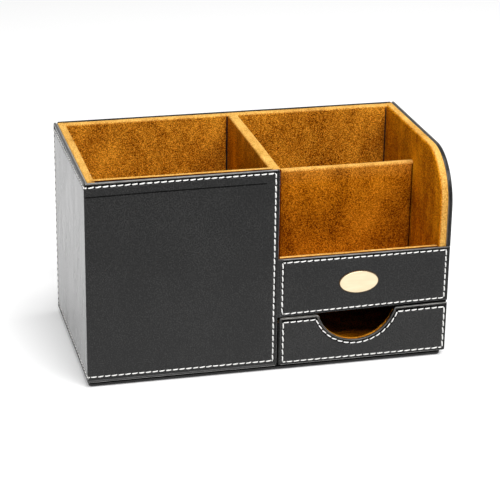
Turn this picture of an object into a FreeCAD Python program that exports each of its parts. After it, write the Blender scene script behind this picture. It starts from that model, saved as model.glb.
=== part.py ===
"""Desk organizer: a pen well, a two-step tray and a drawer, in stitched leather over board.

Millimetres, +Z up, +X to the right, front towards -Y.  The origin is on the table, under the
middle of the whole box.  Each piece is saved as its own STEP file in parts/.
"""
import FreeCAD, Part
import math
import os

# ---- outside of the case ----
body_width = 240.0         # left leather face to right leather face
body_depth = 126.5         # front leather face to back leather face
body_height = 138.3        # table to the top of the leather edge
corner_radius = 1.2        # upright corners of the leather
crest_radius = 1.0         # rounding along the top of the leather

# ---- what the sheet goods measure ----
leather = 1.0              # outside leather
card = 1.5                 # grey card stiffener inside each stitched panel
board = 4.5                # carcass boards
suede = 0.7                # lining glued to the boards
rim_step = 0.4             # the suede rim lies this much below the leather edge

# ---- base plate ----
felt = 0.5                 # felt sheet glued under the base
base_board_thickness = 1.9
base_leather = 0.4         # thin leather round the base
base_inset = 1.0           # base edge behind the left, front and back faces
base_inset_right = 2.8     # the right edge stands further in
base_corner_radius = 2.5
felt_margin = 2.0          # felt edge inside the base edge
panel_lift = 0.6           # stitched panels end this much above the base

# ---- pen well and divider ----
front_panel_width = 124.2  # stitched front of the pen well, from the left face
divider_width = 7.0        # divider with its lining on both sides
divider_shift = 1.3        # divider's right face beyond the edge of the front panel
well_floor_board = 2.5

# ---- tray over the drawer ----
fascia_top = 77.4          # top of the leather on the low front
fascia_bottom = 38.8       # the low front ends here, over the drawer
tray_floor_bottom = 39.0
tray_floor_board = 3.5
tray_divider_thickness = 5.5
tray_divider_front = 58.5  # from the front leather face
tray_divider_top = 117.0
side_arc_radius = 34.5     # round front corner of the right side

# ---- drawer ----
drawer_front_bottom = 3.6
drawer_front_top = 37.5
drawer_front_board = 2.0
drawer_board_inset = 1.0   # the board's edge inside the leather's edge
drawer_side_gap = 0.8      # each side, between the box and the bay
drawer_floor_gap = 0.3     # under the box, over the base
drawer_panel_gap = 0.3     # between the overlapping front and the right side's edge
drawer_box_board = 3.0     # sides and back
drawer_floor_board = 2.5
drawer_box_top = 33.0      # top of the lined sides
drawer_back_gap = 3.0      # behind the box
notch_radius = 26.7
notch_depth = 20.2
notch_shift_left = 0.9     # notch centre left of the middle of the drawer's bay
notch_corner_radius = 2.0
notch_lining_step = 0.5    # the suede edge stands back from the leather edge in the notch

# ---- stitching and badge ----
thread_width = 0.9
thread_stand = 0.4         # the thread stands proud of the leather
stitch_inset = 2.7         # middle of the row from the leather's edge
bottom_row_lift = 4.0      # middle of the long bottom row above the panel's lower edge
notch_stitch_inset = 2.5
badge_width = 26.5
badge_height = 15.4
badge_stand = 1.0
badge_edge_radius = 0.5
badge_shift_right = 0.2    # badge centre right of the notch's middle
badge_shift_up = 0.1       # badge centre above the middle of the low front

# ---- places worked out from these ----
cover = leather + card
left_face = -body_width / 2
right_face = body_width / 2
front_face = -(body_depth + thread_stand - badge_stand) / 2
back_face = front_face + body_depth
base_top = felt + base_board_thickness + base_leather
panel_bottom = base_top + panel_lift
rim_top = body_height - rim_step
board_top = rim_top - suede

left_board_out = left_face + cover
left_board_in = left_board_out + board
left_wall = left_board_in + suede
right_board_out = right_face - cover
right_board_in = right_board_out - board
right_wall = right_board_in - suede
front_board_out = front_face + cover
front_board_in = front_board_out + board
front_wall = front_board_in + suede
back_board_out = back_face - cover
back_board_in = back_board_out - board
back_wall = back_board_in - suede

front_panel_edge = left_face + front_panel_width
divider_right = front_panel_edge + divider_shift
divider_left = divider_right - divider_width
divider_board_left = divider_left + suede
divider_board_right = divider_right - suede

well_floor_top = base_top + well_floor_board
tray_floor_top = tray_floor_bottom + tray_floor_board
fascia_rim_top = fascia_top - rim_step
fascia_board_top = fascia_rim_top - suede
tray_divider_y = front_face + tray_divider_front
tray_divider_back = tray_divider_y + tray_divider_thickness

drawer_left = divider_board_right + drawer_side_gap
drawer_box_right = right_board_in - drawer_side_gap
drawer_front_back = front_board_out + drawer_front_board
drawer_bottom = base_top + drawer_floor_gap
drawer_floor_top = drawer_bottom + drawer_floor_board
drawer_back_out = back_board_in - drawer_back_gap
drawer_back_in = drawer_back_out - drawer_box_board
drawer_left_in = drawer_left + drawer_box_board
drawer_right_in = drawer_box_right - drawer_box_board
drawer_board_top = drawer_box_top - suede
notch_x = (divider_board_right + right_board_in) / 2 - notch_shift_left
notch_z = drawer_front_top - notch_depth + notch_radius
far = body_width           # longer than any piece, for cutting


def block(x0, x1, y0, y1, z0, z1):
    """A box between two corners."""
    return Part.makeBox(x1 - x0, y1 - y0, z1 - z0, FreeCAD.Vector(x0, y0, z0))


def save(node, shape):
    """Write one piece to its own file."""
    shape.exportStep("parts/" + node + ".step")
    print(node, len(shape.Solids), "solid", round(shape.Volume, 1), shape.isValid())


def edges_where(shape, test):
    """The edges whose two ends and middle all pass the test."""
    chosen = []
    for edge in shape.Edges:
        middle = edge.valueAt((edge.FirstParameter + edge.LastParameter) / 2)
        points = [vertex.Point for vertex in edge.Vertexes] + [middle]
        if all(test(point) for point in points):
            chosen.append(edge)
    return chosen


def near(a, b):
    return abs(a - b) < 1e-4


def round_uprights(shape, radius, x, y):
    """Round the upright edges that stand at x, y."""
    return shape.makeFillet(radius, edges_where(shape, lambda p: near(p.x, x) and near(p.y, y)))


def rounded_plate(x0, x1, y_front, y_back, z_low, z_top, radius):
    """An upright plate across X whose top front corner is an arc."""
    v = FreeCAD.Vector
    turn = radius * math.sqrt(0.5)
    low_front = v(x0, y_front, z_low)
    arc_start = v(x0, y_front, z_top - radius)
    arc_middle = v(x0, y_front + radius - turn, z_top - radius + turn)
    arc_end = v(x0, y_front + radius, z_top)
    top_back = v(x0, y_back, z_top)
    low_back = v(x0, y_back, z_low)
    edges = [Part.LineSegment(low_front, arc_start).toShape(),
             Part.Arc(arc_start, arc_middle, arc_end).toShape(),
             Part.LineSegment(arc_end, top_back).toShape(),
             Part.LineSegment(top_back, low_back).toShape(),
             Part.LineSegment(low_back, low_front).toShape()]
    return Part.Face(Part.Wire(edges)).extrude(v(x1 - x0, 0, 0))


def notch_drum(radius, y0, y1):
    """The round bar that cuts the finger notch."""
    return Part.makeCylinder(radius, y1 - y0, FreeCAD.Vector(notch_x, y0, notch_z), FreeCAD.Vector(0, 1, 0))


def notched_plate(x0, x1, y0, y1, z0, z1, radius):
    """A plate across Y with the finger notch in its top edge, its two corners eased."""
    plate = block(x0, x1, y0, y1, z0, z1).cut(notch_drum(radius, y0, y1))
    corners = edges_where(plate, lambda p: near(p.z, z1) and abs(p.x - notch_x) < radius)
    corners = [edge for edge in corners if near(edge.Vertexes[0].X, edge.Vertexes[-1].X)]
    return plate.makeFillet(notch_corner_radius, corners)


def row_frame(x0, x1, z0, z1, y0, y1):
    """A closed rectangular row of thread on a face across Y, given by the row's middle line."""
    half = thread_width / 2
    outer = block(x0 - half, x1 + half, y0, y1, z0 - half, z1 + half)
    return outer.cut(block(x0 + half, x1 - half, y0, y1, z0 + half, z1 - half))


def edge_row(face, inset, toward):
    """A closed row of thread that follows a face's outline, inset from it."""
    outer = face.makeOffset2D(-(inset - thread_width / 2), 0, False, False, False)
    inner = face.makeOffset2D(-(inset + thread_width / 2), 0, False, False, False)
    return outer.cut(inner).extrude(toward * thread_stand)


def make_base():
    """The base plate: a board in thin leather, with felt glued under it."""
    x0, x1 = left_face + base_inset, right_face - base_inset_right
    y0, y1 = front_face + base_inset, back_face - base_inset

    def rounded(inset, z0, z1):
        shape = block(x0 + inset, x1 - inset, y0 + inset, y1 - inset, z0, z1)
        for x in (x0 + inset, x1 - inset):
            for y in (y0 + inset, y1 - inset):
                shape = round_uprights(shape, base_corner_radius - inset, x, y)
        return shape

    inner = rounded(base_leather, felt, felt + base_board_thickness)
    save("base_board", inner)
    save("base_leather", rounded(0.0, felt, base_top).cut(inner))
    save("base_felt", rounded(felt_margin, 0.0, felt))


def make_carcass():
    """The boards that carry everything, standing on the base."""
    save("left_board", block(left_board_out, left_board_in, front_board_out, back_board_in, base_top, board_top))
    save("back_board", block(left_board_out, right_board_out, back_board_in, back_board_out, base_top, board_top))
    save("front_board", block(left_board_in, divider_board_left, front_board_out, front_board_in,
                              base_top, board_top))
    save("divider_board", block(divider_board_left, divider_board_right, front_board_out, back_board_in,
                                base_top, board_top))
    save("well_floor_board", block(left_board_in, divider_board_left, front_board_in, back_board_in,
                                   base_top, well_floor_top))
    save("tray_floor_board", block(divider_board_right, right_board_in, front_board_in, back_board_in,
                                   tray_floor_bottom, tray_floor_top))
    save("fascia_board", block(divider_board_right, right_board_in, front_board_out, front_board_in,
                               fascia_bottom, fascia_board_top))
    save("tray_divider_board", block(divider_right, right_wall, tray_divider_y + suede,
                                     tray_divider_back - suede, tray_floor_top, tray_divider_top - suede))
    arc = side_arc_radius - cover + rim_step
    side = rounded_plate(right_board_in, right_board_out, front_board_out, back_board_in,
                         base_top, board_top, arc)
    save("right_board", side.cut(drawer_overlap()))


def drawer_overlap():
    """The room that the drawer's front takes at the front edge of the right side."""
    return block(right_board_in - far, right_face + far, front_face - far,
                 drawer_front_back + drawer_panel_gap, -far, fascia_bottom)


def make_front_wrap():
    """One leather wrap over three cards: the left side, the pen well's front and the low front."""
    left = block(left_face, left_board_out, front_face, back_face, panel_bottom, body_height)
    front = block(left_face, front_panel_edge, front_face, front_board_out, panel_bottom, body_height)
    low = block(left_face, right_face, front_face, front_board_out, fascia_bottom, fascia_top)
    wrap = left.fuse([front, low]).removeSplitter()
    wrap = round_uprights(wrap, corner_radius, left_face, front_face)
    wrap = wrap.makeFillet(crest_radius, edges_where(wrap, lambda p: near(p.z, body_height) and (
        p.x < left_face + corner_radius + 1e-4 or p.y < front_face + corner_radius + 1e-4) and not (
        near(p.x, front_panel_edge) and p.y > front_face + 1e-4)))
    wrap = wrap.makeFillet(crest_radius, edges_where(wrap, lambda p: near(p.y, front_face)
                                                     and near(p.z, fascia_top)))
    card_low, card_top = panel_bottom + leather, body_height - leather
    left_card = block(left_face + leather, left_board_out, front_face + leather, back_face - leather,
                      card_low, card_top)
    front_card = block(left_board_out, front_panel_edge - leather, front_face + leather, front_board_out,
                       card_low, card_top)
    low_card = block(front_panel_edge - leather, right_face - leather, front_face + leather, front_board_out,
                     fascia_bottom + leather, fascia_top - leather)
    save("left_card", left_card)
    save("front_card", front_card)
    save("fascia_card", low_card)
    save("front_leather", wrap.cut(left_card).cut(front_card).cut(low_card))


def make_back_panel():
    """The stitched panel on the back, between the two sides."""
    panel = block(left_board_out, right_board_out, back_board_out, back_face, panel_bottom, body_height)
    panel = panel.makeFillet(crest_radius, edges_where(panel, lambda p: near(p.z, body_height)
                                                       and near(p.y, back_face)))
    inside = block(left_board_out + leather, right_board_out - leather, back_board_out, back_face - leather,
                   panel_bottom + leather, body_height - leather)
    save("back_card", inside)
    save("back_leather", panel.cut(inside))


def right_panel(inset, x0, x1):
    """The right side's outline with its round corner, its edges moved in by inset."""
    plate = rounded_plate(x0, x1, front_face + inset, back_face - inset, panel_bottom + inset,
                          body_height - inset, side_arc_radius - inset)
    behind_fascia = block(x0 - far, x1 + far, front_face - far, front_board_out + inset, -far,
                          fascia_top + inset)
    behind_drawer = block(x0 - far, x1 + far, front_face - far,
                          drawer_front_back + drawer_panel_gap + inset, -far, fascia_bottom + inset)
    return plate.cut(behind_fascia).cut(behind_drawer)


def make_right_panel():
    """The stitched panel on the right side."""
    panel = right_panel(0.0, right_board_out, right_face)
    arc_y, arc_z = front_face + side_arc_radius, body_height - side_arc_radius

    def on_crest(p):
        straight = near(p.z, body_height) and p.y > arc_y - 1e-4
        edge = near(p.y, front_face) and p.z > fascia_top - 1e-4
        bend = near(math.hypot(p.y - arc_y, p.z - arc_z), side_arc_radius) and p.y < arc_y and p.z > arc_z
        return near(p.x, right_face) and (straight or edge or bend)

    panel = panel.makeFillet(crest_radius, edges_where(panel, on_crest))
    inside = right_panel(leather, right_board_out, right_face - leather)
    save("right_card", inside)
    save("right_leather", panel.cut(inside))


def make_well_linings():
    """Suede on the walls of the pen well: each sheet also covers the top edge of its board."""
    left = block(left_board_in, left_wall, front_wall, back_wall, well_floor_top, board_top)
    left_rim = block(left_board_out, left_wall, front_board_out, back_board_out, board_top, rim_top)
    save("left_lining", left.fuse(left_rim).removeSplitter())
    front = block(left_board_in, divider_board_left, front_board_in, front_wall, well_floor_top, board_top)
    front_rim = block(left_wall, divider_left, front_board_out, front_wall, board_top, rim_top)
    save("well_front_lining", front.fuse(front_rim).removeSplitter())
    back = block(left_board_in, divider_board_left, back_wall, back_board_in, well_floor_top, board_top)
    back_rim = block(left_wall, divider_right, back_wall, back_board_out, board_top, rim_top)
    save("well_back_lining", back.fuse(back_rim).removeSplitter())
    save("well_floor_lining", block(left_wall, divider_left, front_wall, back_wall, well_floor_top,
                                    well_floor_top + suede))


def low_front_room():
    """The room that the lined low front takes, which the side linings stop at."""
    return block(left_face, right_face, front_face - far, front_wall, -far, fascia_rim_top)


def make_divider_lining():
    """Suede over both faces and the top of the tall divider."""
    left = block(divider_left, divider_board_left, front_wall, back_wall, well_floor_top, board_top)
    right = block(divider_board_right, divider_right, front_board_out, back_wall, tray_floor_top, board_top)
    right = right.cut(low_front_room())
    rim = block(divider_left, divider_right, front_board_out, back_wall, board_top, rim_top)
    save("divider_lining", left.fuse([right, rim]).removeSplitter())


def make_tray_linings():
    """Suede on the walls and floors of the tray."""
    arc = side_arc_radius - cover + rim_step
    outer = rounded_plate(right_wall, right_board_out, front_board_out - suede, back_board_out,
                          tray_floor_top, rim_top, arc + suede)
    core = rounded_plate(right_board_in, right_board_out, front_board_out, back_board_out,
                         tray_floor_top, board_top, arc)
    back_room = block(left_face, right_board_in, back_wall, far, -far, board_top)
    front_room = block(left_face, right_face, front_face - far, front_board_out, -far, fascia_top)
    side = outer.cut(core).cut(low_front_room()).cut(back_room).cut(front_room)
    save("right_lining", side)
    back = block(divider_board_right, right_board_in, back_wall, back_board_in, tray_floor_top, board_top)
    back_rim = block(divider_right, right_wall, back_wall, back_board_out, board_top, rim_top)
    save("tray_back_lining", back.fuse(back_rim).removeSplitter())
    low = block(divider_board_right, right_board_in, front_board_in, front_wall, tray_floor_top,
                fascia_board_top)
    low_rim = block(divider_board_right, right_board_in, front_board_out, front_wall, fascia_board_top,
                    fascia_rim_top)
    save("fascia_lining", low.fuse(low_rim).removeSplitter())
    whole = block(divider_right, right_wall, tray_divider_y, tray_divider_back, tray_floor_top,
                  tray_divider_top)
    core = block(divider_right, right_wall, tray_divider_y + suede, tray_divider_back - suede,
                 tray_floor_top, tray_divider_top - suede)
    save("tray_divider_lining", whole.cut(core))
    floor_top = tray_floor_top + suede
    save("front_tray_floor_lining", block(divider_right, right_wall, front_wall, tray_divider_y,
                                          tray_floor_top, floor_top))
    save("rear_tray_floor_lining", block(divider_right, right_wall, tray_divider_back, back_wall,
                                         tray_floor_top, floor_top))


def make_threads():
    """The thread of each stitched panel, lying on the leather along the panel's edge."""
    half = thread_width / 2
    around = [block(left_face - grow, right_face + grow, front_face - grow, back_face + grow,
                    panel_bottom, body_height) for grow in (thread_stand, 0.0)]
    outer = round_uprights(around[0], corner_radius + thread_stand, left_face - thread_stand,
                           front_face - thread_stand)
    inner = round_uprights(around[1], corner_radius, left_face, front_face)
    ring = outer.cut(inner)
    low_row, top_row = panel_bottom + bottom_row_lift, body_height - stitch_inset
    end_x, end_y = front_panel_edge - stitch_inset, back_face - stitch_inset
    rows = [ring.common(block(left_face - far, end_x + half, front_face - far, end_y + half, z - half, z + half))
            for z in (low_row, top_row)]
    right_row = block(end_x - half, end_x + half, front_face - thread_stand, front_face, low_row, top_row)
    back_row = block(left_face - thread_stand, left_face, end_y - half, end_y + half, low_row, top_row)
    save("front_thread", rows[0].fuse([rows[1], right_row, back_row]).removeSplitter())

    save("fascia_thread", row_frame(front_panel_edge + stitch_inset, right_face - stitch_inset,
                                    fascia_bottom + stitch_inset, fascia_top - stitch_inset,
                                    front_face - thread_stand, front_face))
    save("back_thread", row_frame(left_board_out + stitch_inset, right_board_out - stitch_inset,
                                  panel_bottom + bottom_row_lift, body_height - stitch_inset,
                                  back_face, back_face + thread_stand))
    slab = right_panel(0.0, right_board_out, right_face)
    outline = [face for face in slab.Faces if near(face.BoundBox.XMin, right_face)][0]
    save("right_thread", edge_row(outline, stitch_inset, FreeCAD.Vector(1, 0, 0)))


def make_badge():
    """A plain oval brass plate on the low front, over the middle of the drawer's notch."""
    centre = FreeCAD.Vector(notch_x + badge_shift_right, front_face,
                            (fascia_top + fascia_bottom) / 2 + badge_shift_up)
    oval = Part.Ellipse(centre + FreeCAD.Vector(badge_width / 2, 0, 0),
                        centre + FreeCAD.Vector(0, 0, badge_height / 2), centre)
    plate = Part.Face(Part.Wire(oval.toShape())).extrude(FreeCAD.Vector(0, -badge_stand, 0))
    front_edge = edges_where(plate, lambda p: near(p.y, front_face - badge_stand))
    save("badge", plate.makeFillet(badge_edge_radius, front_edge))


def make_drawer_front():
    """The drawer's front: a notched board with a stitched leather panel over it."""
    panel = notched_plate(drawer_left, right_face, front_face, front_board_out, drawer_front_bottom,
                          drawer_front_top, notch_radius)
    inside = notched_plate(drawer_left + leather, right_face - leather, front_face + leather, front_board_out,
                           drawer_front_bottom + leather, drawer_front_top - leather, notch_radius + leather)
    save("drawer_front_card", inside)
    save("drawer_front_leather", panel.cut(inside))
    edge = drawer_board_inset
    board_notch = notch_radius + notch_lining_step + suede
    save("drawer_front_board", notched_plate(drawer_left + edge, right_face - edge, front_board_out,
                                             drawer_front_back, drawer_front_bottom + edge,
                                             drawer_front_top - edge, board_notch))
    face = [f for f in panel.Faces if near(f.BoundBox.YMin, front_face) and near(f.BoundBox.YMax, front_face)][0]
    save("drawer_thread", edge_row(face, notch_stitch_inset, FreeCAD.Vector(0, -1, 0)))


def make_drawer_box():
    """The drawer's box behind its front, lined with suede."""
    save("drawer_floor", block(drawer_left, drawer_box_right, drawer_front_back, drawer_back_out,
                               drawer_bottom, drawer_floor_top))
    sides = {"left": (drawer_left, drawer_left_in), "right": (drawer_right_in, drawer_box_right)}
    for side, (x0, x1) in sides.items():
        save("drawer_" + side + "_side", block(x0, x1, drawer_front_back, drawer_back_out,
                                               drawer_floor_top, drawer_board_top))
    save("drawer_back", block(drawer_left_in, drawer_right_in, drawer_back_in, drawer_back_out,
                              drawer_floor_top, drawer_board_top))
    lined_back = drawer_back_in - suede
    faces = {"left": (drawer_left_in, drawer_left_in + suede), "right": (drawer_right_in - suede, drawer_right_in)}
    for side, (x0, x1) in faces.items():
        face = block(x0, x1, drawer_front_back, drawer_back_in, drawer_floor_top, drawer_board_top)
        low, high = min(x0, sides[side][0]), max(x1, sides[side][1])
        rim = block(low, high, drawer_front_back, drawer_back_out, drawer_board_top, drawer_box_top)
        save("drawer_" + side + "_lining", face.fuse(rim).removeSplitter())
    inner_left, inner_right = drawer_left_in + suede, drawer_right_in - suede
    face = block(inner_left, inner_right, lined_back, drawer_back_in, drawer_floor_top, drawer_board_top)
    rim = block(inner_left, inner_right, lined_back, drawer_back_out, drawer_board_top, drawer_box_top)
    save("drawer_back_lining", face.fuse(rim).removeSplitter())
    lined_front = drawer_front_back + suede
    save("drawer_floor_lining", block(inner_left, inner_right, lined_front, lined_back, drawer_floor_top,
                                      drawer_floor_top + suede))
    lining_notch = notch_radius + notch_lining_step
    sheet = block(inner_left, inner_right, drawer_front_back, lined_front, drawer_floor_top, drawer_board_top)
    tube = notch_drum(lining_notch + suede, front_board_out, drawer_front_back)
    tube = tube.common(block(drawer_left, right_face, front_face, back_face, -far,
                             drawer_front_top - drawer_board_inset - notch_corner_radius))
    hollow = notch_drum(lining_notch, front_face, back_face)
    save("drawer_front_lining", sheet.fuse(tube).cut(hollow).removeSplitter())


os.makedirs("parts", exist_ok=True)
make_base()
make_carcass()
make_front_wrap()
make_back_panel()
make_right_panel()
make_well_linings()
make_divider_lining()
make_tray_linings()
make_threads()
make_badge()
make_drawer_front()
make_drawer_box()
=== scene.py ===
"""Pen stand with a drawer: boards covered in black stitched leather outside and tan suede inside."""
import math

import bmesh
import bpy
import numpy as np
from mathutils import Matrix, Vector
from mathutils.geometry import tessellate_polygon


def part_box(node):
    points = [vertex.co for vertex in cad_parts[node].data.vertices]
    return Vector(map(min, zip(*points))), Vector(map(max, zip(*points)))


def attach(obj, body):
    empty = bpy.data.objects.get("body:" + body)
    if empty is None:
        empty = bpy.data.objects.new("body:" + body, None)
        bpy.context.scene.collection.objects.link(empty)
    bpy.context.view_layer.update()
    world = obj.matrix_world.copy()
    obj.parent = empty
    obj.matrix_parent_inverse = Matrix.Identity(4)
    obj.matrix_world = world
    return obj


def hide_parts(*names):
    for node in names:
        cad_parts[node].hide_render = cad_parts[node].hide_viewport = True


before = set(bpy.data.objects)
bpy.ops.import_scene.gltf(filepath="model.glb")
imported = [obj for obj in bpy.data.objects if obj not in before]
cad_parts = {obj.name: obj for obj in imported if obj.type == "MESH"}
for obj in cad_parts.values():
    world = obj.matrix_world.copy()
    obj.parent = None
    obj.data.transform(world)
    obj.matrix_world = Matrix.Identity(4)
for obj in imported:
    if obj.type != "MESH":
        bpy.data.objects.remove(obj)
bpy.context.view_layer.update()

# ---------------- studio
# A long lens looks down on the front and the left side. The table is white, under a
# wide soft box in front and a square one overhead, with pale walls all round.
scene = bpy.context.scene
scene.view_settings.view_transform = "Standard"
yaw, pitch, roll = np.radians([14.339, 21.628, 0.883])
ahead = np.array([math.sin(yaw) * math.cos(pitch), math.cos(yaw) * math.cos(pitch), -math.sin(pitch)])
level = np.array([math.cos(yaw), -math.sin(yaw), 0.0])
upright = np.cross(level, ahead)
across = math.cos(roll) * level + math.sin(roll) * upright
above = math.cos(roll) * upright - math.sin(roll) * level
camera = bpy.data.objects.new("camera", bpy.data.cameras.new("camera"))
camera.data.lens, camera.data.sensor_width = 132.96, 36.0
camera.data.clip_start, camera.data.clip_end = 0.05, 60.0
scene.camera = camera


def stand(thing, across, above, behind, place):
    """Set a camera or a lamp at a place: across is to its right, above is up, and it looks away from
    behind."""
    facing = np.eye(4)
    facing[:3] = np.column_stack([across, above, behind, place])
    thing.matrix_world = Matrix(facing.tolist())
    scene.collection.objects.link(thing)


stand(camera, across, above, -ahead, [-0.2837, -1.1149, 0.5166])


def add(tree, kind, inputs=None, **settings):
    """A shader node with its settings, its inputs given as numbers or joined to other sockets."""
    made = tree.nodes.new("ShaderNode" + kind)
    for setting, value in settings.items():
        setattr(made, setting, value)
    for socket, value in (inputs or {}).items():
        if isinstance(value, bpy.types.NodeSocket):
            tree.links.new(value, made.inputs[socket])
        else:
            made.inputs[socket].default_value = value
    return made


def maths(tree, operation, *values, **settings):
    """One step of arithmetic on values in a shader."""
    return add(tree, "Math", dict(enumerate(values)), operation=operation, **settings).outputs[0]


def remap(tree, value, start, end, low, high):
    """A value from start to end becomes one from low to high, and goes no further."""
    return add(tree, "MapRange", {"Value": value, "From Min": start, "From Max": end, "To Min": low,
                                  "To Max": high}).outputs[0]


def seen_directly(tree):
    """1 for rays from the camera, from a reflection or through glass, 0 for the light that falls on
    things."""
    path = add(tree, "LightPath").outputs
    first = maths(tree, "MAXIMUM", path["Is Camera Ray"], path["Is Glossy Ray"])
    return maths(tree, "MAXIMUM", first, path["Is Transmission Ray"])


world = bpy.data.worlds.new("pale_walls")
world.use_nodes = True
walls = world.node_tree
backdrop = walls.nodes["Background"].inputs
walls.links.new(remap(walls, seen_directly(walls), 0.0, 1.0, 0.12, 1.0), backdrop["Strength"])
backdrop["Color"].default_value = (1.0, 1.0, 1.0, 1.0)
scene.world = world


def soft_box(name, place, aim, width, height, power):
    """An area lamp at one point, facing another."""
    lamp = bpy.data.lights.new(name, "AREA")
    lamp.shape, lamp.size, lamp.size_y, lamp.energy = "RECTANGLE", width, height, power
    held = bpy.data.objects.new(name, lamp)
    beam = np.array(aim, float) - np.array(place, float)
    beam /= np.linalg.norm(beam)
    side = np.cross(beam, [0.0, 1.0, 0.1])
    side /= np.linalg.norm(side)
    stand(held, side, -np.cross(side, beam), -beam, place)
    held.visible_camera = False


soft_box("front_box", (0.05, -1.58, 2.02), (0.0, 0.0, 0.07), 3.0, 1.1, 64.0)
soft_box("top_box", (0.28, -0.22, 2.35), (0.0, 0.0, 0.07), 1.1, 1.1, 36.0)

table = bpy.data.materials.new("white_table")
table.use_nodes = True
top = table.node_tree
top.nodes.clear()
matte = add(top, "BsdfDiffuse", {"Color": (0.86, 0.86, 0.86, 1.0)})
lift = remap(top, seen_directly(top), 0.0, 1.0, 0.0, 0.20)
glow = add(top, "Emission", {"Color": (1.0, 1.0, 1.0, 1.0), "Strength": lift})
both = add(top, "AddShader", {0: matte.outputs[0], 1: glow.outputs[0]})
add(top, "OutputMaterial", {"Surface": both.outputs[0]})
tiles, table_height = 8, -0.0001      # just under the felt, so that the two never share a plane
reach = np.linspace(-8.0, 8.0, tiles + 1)
firsts = [i * (tiles + 1) + j for i in range(tiles) for j in range(tiles)]
floor_mesh = bpy.data.meshes.new("table_top")
floor_mesh.from_pydata([(x, y, table_height) for x in reach for y in reach], [],
                       [(k, k + tiles + 1, k + tiles + 2, k + 1) for k in firsts])
floor_mesh.materials.append(table)
floor = bpy.data.objects.new("table_top", floor_mesh)
scene.collection.objects.link(floor)

# ---------------- base plate
# A thin board wrapped in smooth black leather, its edge turned under, with black
# felt glued below. Everything stands on it, a little inside the sides' faces.
MM = 0.001


def corners_of(node):
    """Lowest and highest corner of a node, in millimetres."""
    return np.array(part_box(node)) / MM


def new_finish(name, color, roughness, **sockets):
    """A material with one shader, its steady values set on the shader itself."""
    finish = bpy.data.materials.new(name)
    finish.use_nodes = True
    shader = finish.node_tree.nodes["Principled BSDF"]
    shader.inputs["Base Color"].default_value = (*color, 1.0)
    shader.inputs["Roughness"].default_value = roughness
    for socket, value in sockets.items():
        shader.inputs[socket.replace("_", " ")].default_value = value
    return finish, finish.node_tree, shader


def spread(tree, scale, detail=3.0, stretch=(1.0, 1.0, 1.0), turn=(0.0, 0.0, 0.0), roughness=0.55):
    """Cloudy noise on the piece's own coordinates, drawn out by stretch; scale is in features a metre."""
    held = add(tree, "Mapping", {"Vector": on_piece(tree), "Scale": stretch, "Rotation": turn})
    return add(tree, "TexNoise", {"Vector": held.outputs[0], "Scale": scale, "Detail": detail,
                                  "Roughness": roughness}).outputs["Fac"]


def ramp(tree, value, stops):
    """Colours laid along a value: stops are (place, colour)."""
    made = add(tree, "ValToRGB", {"Fac": value})
    band = made.color_ramp
    while len(band.elements) < len(stops):
        band.elements.new(0.5)
    for element, (place, color) in zip(band.elements, stops):
        element.position = place
        element.color = (*color, 1.0) if len(color) == 3 else color
    return made.outputs["Color"]


def raise_by(tree, shader, *layers):
    """Small relief, one layer over another: each is (value, strength, height in metres)."""
    normal = None
    for value, strength, height in layers:
        inputs = {"Height": value, "Strength": strength, "Distance": height}
        if normal is not None:
            inputs["Normal"] = normal
        normal = add(tree, "Bump", inputs).outputs[0]
    tree.links.new(normal, shader.inputs["Normal"])


def coat(tree, shader, color):
    """Join a colour to the shader."""
    tree.links.new(color, shader.inputs["Base Color"])


def blend(tree, way, first, second, share=1.0):
    """Two colours added, multiplied or mixed."""
    return add(tree, "MixRGB", {"Fac": share, "Color1": first, "Color2": second}, blend_type=way).outputs[0]


def on_piece(tree, axis=None):
    """The piece's own coordinates, in metres, or one of them."""
    where = add(tree, "TexCoord").outputs["Object"]
    return add(tree, "SeparateXYZ", {0: where}).outputs[axis] if axis else where


def leather(name, streak=0.0, shine=0.315, painted_table_reflection=0.0):
    """Black dyed leather: small pale and dark flecks in the dye, a fine pebble grain, a polish that wanders,
    and long faint waves where the leather is pulled over the card. The last argument pales the dye towards
    the
    table: a painted reflection of the bright table, low on the panel."""
    finish, tree, shader = new_finish(name, (0.006, 0.006, 0.006), 0.27, Sheen_Weight=0.55,
                                      Sheen_Roughness=0.3, Specular_IOR_Level=shine)
    fleck = spread(tree, 1300.0, 2.0, roughness=0.6)
    dye = maths(tree, "ADD", fleck, remap(tree, spread(tree, 30.0, 2.0), 0.3, 0.7, -0.03, 0.03))
    dyed = ramp(tree, dye, [(0.38, (0.0002,) * 3), (0.50, (0.0008,) * 3), (0.62, (0.0190, 0.0187, 0.0182))])
    # Paler dye towards the table: painted reflection of the table.
    coat(tree, shader, blend(tree, "ADD", dyed, remap(tree, on_piece(tree, "Z"), 0.0, 0.138, painted_table_reflection, 0.0)))
    rub = spread(tree, 160.0, 3.0, (1.0, 1.0, 0.2))
    tree.links.new(remap(tree, rub, 0.3, 0.7, 0.17, 0.29), shader.inputs["Roughness"])
    pebble = add(tree, "TexVoronoi", {"Vector": on_piece(tree), "Scale": 1900.0}, feature="SMOOTH_F1")
    wave = spread(tree, 9.0, 2.0, (9.0, 5.0, 1.2))
    raise_by(tree, shader, (wave, 0.10 + streak, 0.0012), (spread(tree, 1700.0, 2.0), 0.37, 0.00008),
             (pebble.outputs["Distance"], 0.22, 0.00008))
    return finish


def quads(rows, columns, close_rows=False, close_columns=False, first=0):
    """Faces of a grid of points, numbered row by row, joined end to end where it closes."""
    i = np.arange(rows if close_rows else rows - 1)[:, None]
    j = np.arange(columns if close_columns else columns - 1)[None, :]
    after_i, after_j = (i + 1) % rows, (j + 1) % columns
    square = [i * columns + j, i * columns + after_j, after_i * columns + after_j, after_i * columns + j]
    return (np.stack(np.broadcast_arrays(*square), -1).reshape(-1, 4) + first).tolist()


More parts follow.
